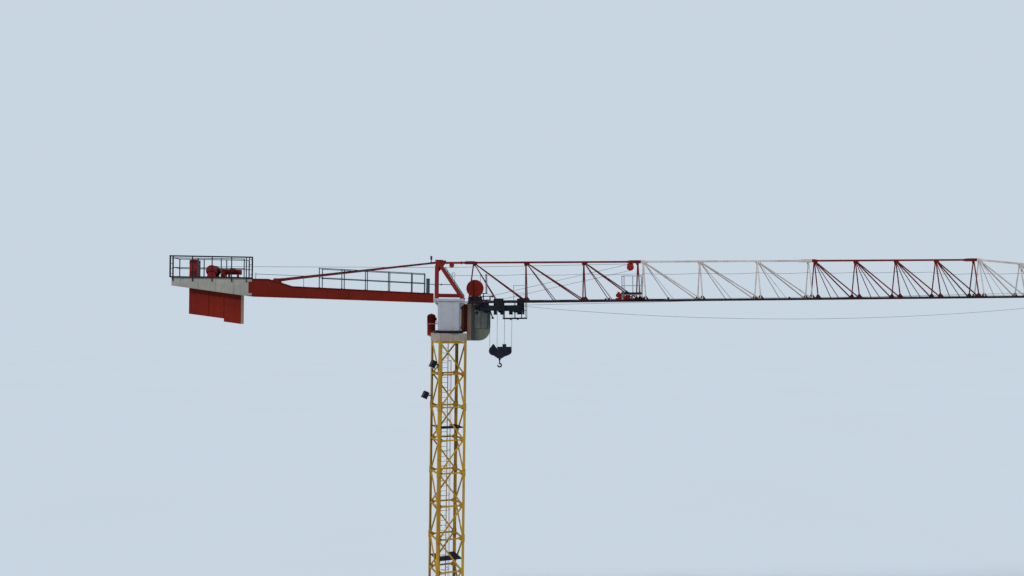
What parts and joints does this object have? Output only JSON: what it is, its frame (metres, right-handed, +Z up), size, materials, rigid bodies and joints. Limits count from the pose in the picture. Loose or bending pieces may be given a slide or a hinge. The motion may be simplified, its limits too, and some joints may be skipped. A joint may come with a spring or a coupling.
{
  "type": "flat-top tower crane, scale model",
  "caption": "Flat-top tower crane with square lattice mast, turntable with cab, braced jib with trolley and hook block, and plate-girder counter-jib with ballast.",
  "frame": {"origin": "centre of the mast's base, on the underside of the base beams", "axes": "+X along the jib at rest, +Z up, Y across the jib"},
  "size_m": [30.5763, 1.6893, 14.4894],
  "materials": {
    "yellow_paint": "weathered satin",
    "cream_paint": "weathered satin",
    "white_paint": "weathered satin",
    "red_paint": "weathered satin",
    "dark_steel": "greasy satin",
    "galvanised": "dull zinc",
    "cab_paint": "satin",
    "cab_glass": "clear",
    "ballast_paint": "painted concrete",
    "rope": "greased wire rope"
  },
  "bodies": {
    "mast": {"base_frame": "yellow_paint", "mast_legs": "yellow_paint", "mast_front_side": "yellow_paint", "mast_back_side": "yellow_paint", "mast_left_side": "yellow_paint", "mast_right_side": "yellow_paint", "mast_ladder": "yellow_paint", "mast_platforms": "dark_steel", "mast_floodlights": "dark_steel", "slewing_support": "cream_paint", "slewing_ring_lower": "dark_steel"},
    "slewing_part": {"slewing_ring_upper": "dark_steel", "turntable": "white_paint", "slewing_gear_motor": "red_paint", "cab_support_frame": "red_paint", "cab_body": "cab_paint", "cab_windows": "cab_glass", "head_frame": "red_paint", "jib_top_chord_red": "red_paint", "jib_top_chord_white": "white_paint", "jib_near_side_red": "red_paint", "jib_near_side_white": "white_paint", "jib_far_side_red": "red_paint", "jib_far_side_white": "white_paint", "jib_floor_red": "red_paint", "jib_floor_white": "white_paint", "jib_nose": "white_paint", "rope_sheaves": "red_paint", "auxiliary_winch_frame": "dark_steel", "trolley_winch": "red_paint", "winch_platform": "dark_steel", "counter_jib_girders": "red_paint", "counter_jib_walkway": "galvanised", "counter_jib_handrails": "galvanised", "tie_bars": "red_paint", "rear_frame": "cream_paint", "ballast_slabs": "ballast_paint", "hoist_winch": "red_paint", "control_cabinet": "red_paint", "sign_frame": "dark_steel"},
    "auxiliary_winch_drum": {"auxiliary_drum": "red_paint"},
    "hoist_winch_drum": {"hoist_drum": "dark_steel"},
    "trolley": {"trolley_frame": "dark_steel", "trolley_rollers": "dark_steel", "trolley_sheaves": "dark_steel", "maintenance_basket": "dark_steel", "hoist_ropes": "rope"},
    "hook_block": {"hook_block": "dark_steel", "hook_sheaves": "dark_steel"},
    "hook": {"hook": "dark_steel"}
  },
  "joints": [
    {"name": "slewing", "type": "hinge", "parent": "mast", "child": "slewing_part", "pos_m": [0, 0, 11.94], "axis": [0, 0, 1], "continuous": true},
    {"name": "auxiliary_winch", "type": "hinge", "parent": "slewing_part", "child": "auxiliary_winch_drum", "pos_m": [0.77001, 0, 13.29066], "axis": [0, 1, 0], "continuous": true},
    {"name": "hoist_winch", "type": "hinge", "parent": "slewing_part", "child": "hoist_winch_drum", "pos_m": [-6.9, 0, 13.6849], "axis": [0, 1, 0], "continuous": true},
    {"name": "trolley_travel", "type": "slide", "parent": "slewing_part", "child": "trolley", "axis": [0.9997, 0, 0.0236], "range_m": [0, 19.4]},
    {"name": "hoist", "type": "slide", "parent": "trolley", "child": "hook_block", "axis": [0, 0, -1], "range_m": [-0.5, 10.2], "deforming": ["hoist_ropes"]},
    {"name": "hook_swivel", "type": "hinge", "parent": "hook_block", "child": "hook", "pos_m": [1.53963, 0, 11.14421], "axis": [0, 0, 1], "continuous": true}
  ]
}
